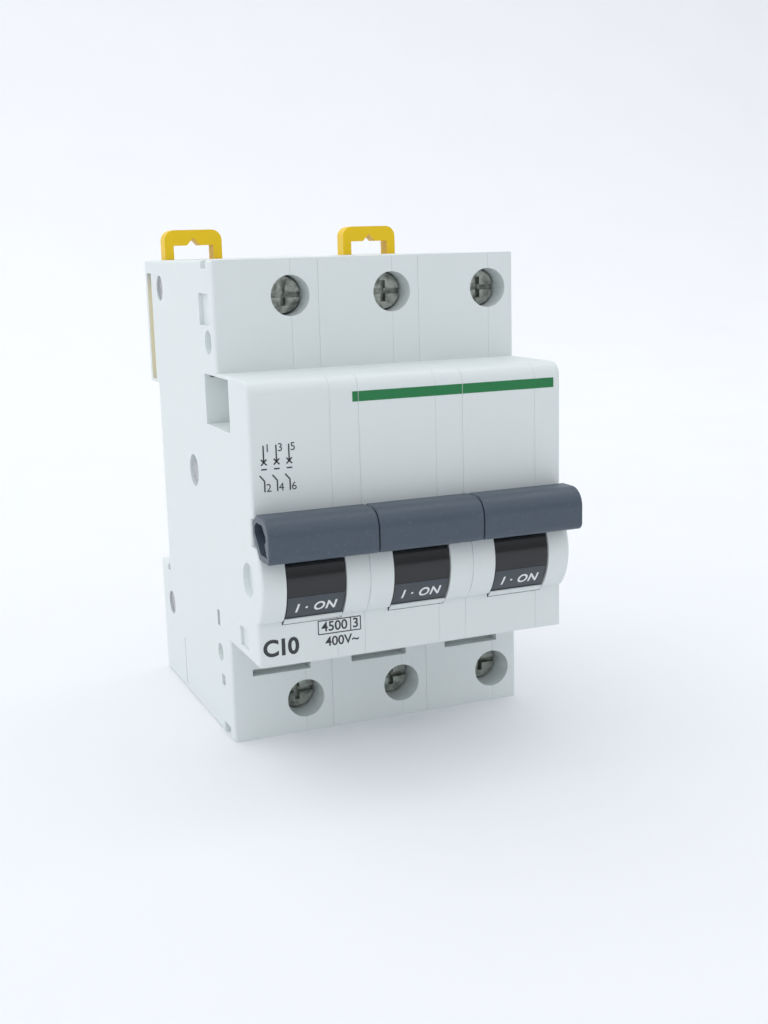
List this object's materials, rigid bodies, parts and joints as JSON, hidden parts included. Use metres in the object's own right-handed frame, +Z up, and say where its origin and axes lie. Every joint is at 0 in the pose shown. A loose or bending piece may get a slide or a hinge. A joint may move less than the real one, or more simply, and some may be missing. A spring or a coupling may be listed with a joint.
{
  "type": "circuit breaker",
  "caption": "Modular circuit breaker for a 35 mm rail: white stepped shells, tied grey handles over black toggles, screw terminals and yellow rail clips.",
  "frame": {"origin": "middle of the underside of the bounding box", "axes": "+X along the row of modules to the right as seen from the front, -Y out of the front, +Z up"},
  "size_m": [0.054, 0.072, 0.0865],
  "materials": {
    "housing": "satin white-grey moulded thermoset",
    "toggle": "gloss black moulded nylon",
    "handle": "satin slate-grey moulded nylon",
    "copper": "bare copper strip",
    "coil_copper": "enamelled copper wire",
    "steel": "zinc-plated steel",
    "spring_steel": "drawn spring wire",
    "lever_plastic": "moulded plastic",
    "screw_steel": "zinc-plated, slot-and-cross head",
    "cage_steel": "zinc-plated pressed steel",
    "rivet_steel": "plain steel",
    "bimetal": "rolled bimetal",
    "clip": "satin yellow moulded plastic"
  },
  "bodies": {
    "housing": {"case_1": "housing", "cover_1": "housing", "coil_1": "coil_copper", "yoke_1": "steel", "plunger_spring_1": "spring_steel", "arc_chute_1": "steel", "case_2": "housing", "cover_2": "housing", "coil_2": "coil_copper", "yoke_2": "steel", "plunger_spring_2": "spring_steel", "arc_chute_2": "steel", "case_3": "housing", "cover_3": "housing", "coil_3": "coil_copper", "yoke_3": "steel", "plunger_spring_3": "spring_steel", "arc_chute_3": "steel", "line_strips": "copper", "fixed_contacts": "copper", "load_strips": "copper", "toggle_pins": "steel", "pivot_pins": "steel", "rivets": "rivet_steel", "toggle_springs": "spring_steel", "bimetals": "bimetal", "braids": "copper"},
    "handle": {"toggle_1": "toggle", "handle_cover_1": "handle", "toggle_2": "toggle", "handle_cover_2": "handle", "toggle_3": "toggle", "handle_cover_3": "handle", "handle_tie_rod": "steel"},
    "link_1": {"link_1": "steel"},
    "contact_arm_1": {"contact_arm_1": "copper"},
    "plunger_1": {"plunger_1": "steel"},
    "trip_lever_1": {"trip_lever_1": "lever_plastic"},
    "upper_screw_1": {"upper_screw_1": "screw_steel"},
    "upper_cage_1": {"upper_cage_1": "cage_steel"},
    "lower_screw_1": {"lower_screw_1": "screw_steel"},
    "lower_cage_1": {"lower_cage_1": "cage_steel"},
    "link_2": {"link_2": "steel"},
    "contact_arm_2": {"contact_arm_2": "copper"},
    "plunger_2": {"plunger_2": "steel"},
    "trip_lever_2": {"trip_lever_2": "lever_plastic"},
    "upper_screw_2": {"upper_screw_2": "screw_steel"},
    "upper_cage_2": {"upper_cage_2": "cage_steel"},
    "lower_screw_2": {"lower_screw_2": "screw_steel"},
    "lower_cage_2": {"lower_cage_2": "cage_steel"},
    "link_3": {"link_3": "steel"},
    "contact_arm_3": {"contact_arm_3": "copper"},
    "plunger_3": {"plunger_3": "steel"},
    "trip_lever_3": {"trip_lever_3": "lever_plastic"},
    "upper_screw_3": {"upper_screw_3": "screw_steel"},
    "upper_cage_3": {"upper_cage_3": "cage_steel"},
    "lower_screw_3": {"lower_screw_3": "screw_steel"},
    "lower_cage_3": {"lower_cage_3": "cage_steel"},
    "rail_clip_1": {"rail_clip_1": "clip"},
    "rail_clip_3": {"rail_clip_3": "clip"}
  },
  "joints": [
    {"name": "handle_hinge", "type": "hinge", "parent": "housing", "child": "handle", "pos_m": [0, -0.0227, 0.0316], "axis": [1, 0, 0], "range_deg": [0, 64]},
    {"name": "link_1_hinge", "type": "hinge", "parent": "handle", "child": "link_1", "pos_m": [-0.018, -0.01846, 0.02895], "axis": [1, 0, 0], "range_deg": [-71.4, 0]},
    {"name": "contact_arm_1_hinge", "type": "hinge", "parent": "housing", "child": "contact_arm_1", "pos_m": [-0.0205, -0.004, 0.04], "axis": [1, 0, 0], "range_deg": [-25, 0]},
    {"name": "plunger_1_slide", "type": "slide", "parent": "housing", "child": "plunger_1", "axis": [0, 0, -1], "range_m": [0, 0.0025], "stiffness_N_per_m": 200, "springref_m": -0.001, "deforming": ["plunger_spring_1"]},
    {"name": "trip_lever_1_hinge", "type": "hinge", "parent": "housing", "child": "trip_lever_1", "pos_m": [-0.0155, -0.009, 0.046], "axis": [1, 0, 0], "range_deg": [-5, 0]},
    {"name": "upper_cage_1_slide", "type": "slide", "parent": "housing", "child": "upper_cage_1", "axis": [0, -1, 0], "range_m": [0, 0.0049]},
    {"name": "upper_screw_1_turn", "type": "hinge", "parent": "housing", "child": "upper_screw_1", "pos_m": [-0.0139, -0.008, 0.075], "axis": [0, -1, 0], "range_deg": [-2520, 0]},
    {"name": "lower_cage_1_slide", "type": "slide", "parent": "housing", "child": "lower_cage_1", "axis": [0, -1, 0], "range_m": [0, 0.0049]},
    {"name": "lower_screw_1_turn", "type": "hinge", "parent": "housing", "child": "lower_screw_1", "pos_m": [-0.0139, -0.007, 0.006], "axis": [0, -1, 0], "range_deg": [-2520, 0]},
    {"name": "link_2_hinge", "type": "hinge", "parent": "handle", "child": "link_2", "pos_m": [0, -0.01846, 0.02895], "axis": [1, 0, 0], "range_deg": [-71.4, 0]},
    {"name": "contact_arm_2_hinge", "type": "hinge", "parent": "housing", "child": "contact_arm_2", "pos_m": [-0.0025, -0.004, 0.04], "axis": [1, 0, 0], "range_deg": [-25, 0]},
    {"name": "plunger_2_slide", "type": "slide", "parent": "housing", "child": "plunger_2", "axis": [0, 0, -1], "range_m": [0, 0.0025], "stiffness_N_per_m": 200, "springref_m": -0.001, "deforming": ["plunger_spring_2"]},
    {"name": "trip_lever_2_hinge", "type": "hinge", "parent": "housing", "child": "trip_lever_2", "pos_m": [0.0025, -0.009, 0.046], "axis": [1, 0, 0], "range_deg": [-5, 0]},
    {"name": "upper_cage_2_slide", "type": "slide", "parent": "housing", "child": "upper_cage_2", "axis": [0, -1, 0], "range_m": [0, 0.0049]},
    {"name": "upper_screw_2_turn", "type": "hinge", "parent": "housing", "child": "upper_screw_2", "pos_m": [0.0041, -0.008, 0.075], "axis": [0, -1, 0], "range_deg": [-2520, 0]},
    {"name": "lower_cage_2_slide", "type": "slide", "parent": "housing", "child": "lower_cage_2", "axis": [0, -1, 0], "range_m": [0, 0.0049]},
    {"name": "lower_screw_2_turn", "type": "hinge", "parent": "housing", "child": "lower_screw_2", "pos_m": [0.0041, -0.007, 0.006], "axis": [0, -1, 0], "range_deg": [-2520, 0]},
    {"name": "link_3_hinge", "type": "hinge", "parent": "handle", "child": "link_3", "pos_m": [0.018, -0.01846, 0.02895], "axis": [1, 0, 0], "range_deg": [-71.4, 0]},
    {"name": "contact_arm_3_hinge", "type": "hinge", "parent": "housing", "child": "contact_arm_3", "pos_m": [0.0155, -0.004, 0.04], "axis": [1, 0, 0], "range_deg": [-25, 0]},
    {"name": "plunger_3_slide", "type": "slide", "parent": "housing", "child": "plunger_3", "axis": [0, 0, -1], "range_m": [0, 0.0025], "stiffness_N_per_m": 200, "springref_m": -0.001, "deforming": ["plunger_spring_3"]},
    {"name": "trip_lever_3_hinge", "type": "hinge", "parent": "housing", "child": "trip_lever_3", "pos_m": [0.0205, -0.009, 0.046], "axis": [1, 0, 0], "range_deg": [-5, 0]},
    {"name": "upper_cage_3_slide", "type": "slide", "parent": "housing", "child": "upper_cage_3", "axis": [0, -1, 0], "range_m": [0, 0.0049]},
    {"name": "upper_screw_3_turn", "type": "hinge", "parent": "housing", "child": "upper_screw_3", "pos_m": [0.0221, -0.008, 0.075], "axis": [0, -1, 0], "range_deg": [-2520, 0]},
    {"name": "lower_cage_3_slide", "type": "slide", "parent": "housing", "child": "lower_cage_3", "axis": [0, -1, 0], "range_m": [0, 0.0049]},
    {"name": "lower_screw_3_turn", "type": "hinge", "parent": "housing", "child": "lower_screw_3", "pos_m": [0.0221, -0.007, 0.006], "axis": [0, -1, 0], "range_deg": [-2520, 0]},
    {"name": "rail_clip_1_slide", "type": "slide", "parent": "housing", "child": "rail_clip_1", "axis": [0, 0, 1], "range_m": [0, 0.003]},
    {"name": "rail_clip_3_slide", "type": "slide", "parent": "housing", "child": "rail_clip_3", "axis": [0, 0, 1], "range_m": [0, 0.003]}
  ],
  "couplings": [
    {"joint": "link_1_hinge", "follows": "handle_hinge", "ratio": -1.1156},
    {"joint": "contact_arm_1_hinge", "follows": "handle_hinge", "ratio": -0.39062},
    {"joint": "trip_lever_1_hinge", "follows": "plunger_1_slide", "rad_per_m": -34.907},
    {"joint": "upper_screw_1_turn", "follows": "upper_cage_1_slide", "rad_per_m": -8976},
    {"joint": "lower_screw_1_turn", "follows": "lower_cage_1_slide", "rad_per_m": -8976},
    {"joint": "link_2_hinge", "follows": "handle_hinge", "ratio": -1.1156},
    {"joint": "contact_arm_2_hinge", "follows": "handle_hinge", "ratio": -0.39062},
    {"joint": "trip_lever_2_hinge", "follows": "plunger_2_slide", "rad_per_m": -34.907},
    {"joint": "upper_screw_2_turn", "follows": "upper_cage_2_slide", "rad_per_m": -8976},
    {"joint": "lower_screw_2_turn", "follows": "lower_cage_2_slide", "rad_per_m": -8976},
    {"joint": "link_3_hinge", "follows": "handle_hinge", "ratio": -1.1156},
    {"joint": "contact_arm_3_hinge", "follows": "handle_hinge", "ratio": -0.39062},
    {"joint": "trip_lever_3_hinge", "follows": "plunger_3_slide", "rad_per_m": -34.907},
    {"joint": "upper_screw_3_turn", "follows": "upper_cage_3_slide", "rad_per_m": -8976},
    {"joint": "lower_screw_3_turn", "follows": "lower_cage_3_slide", "rad_per_m": -8976}
  ]
}
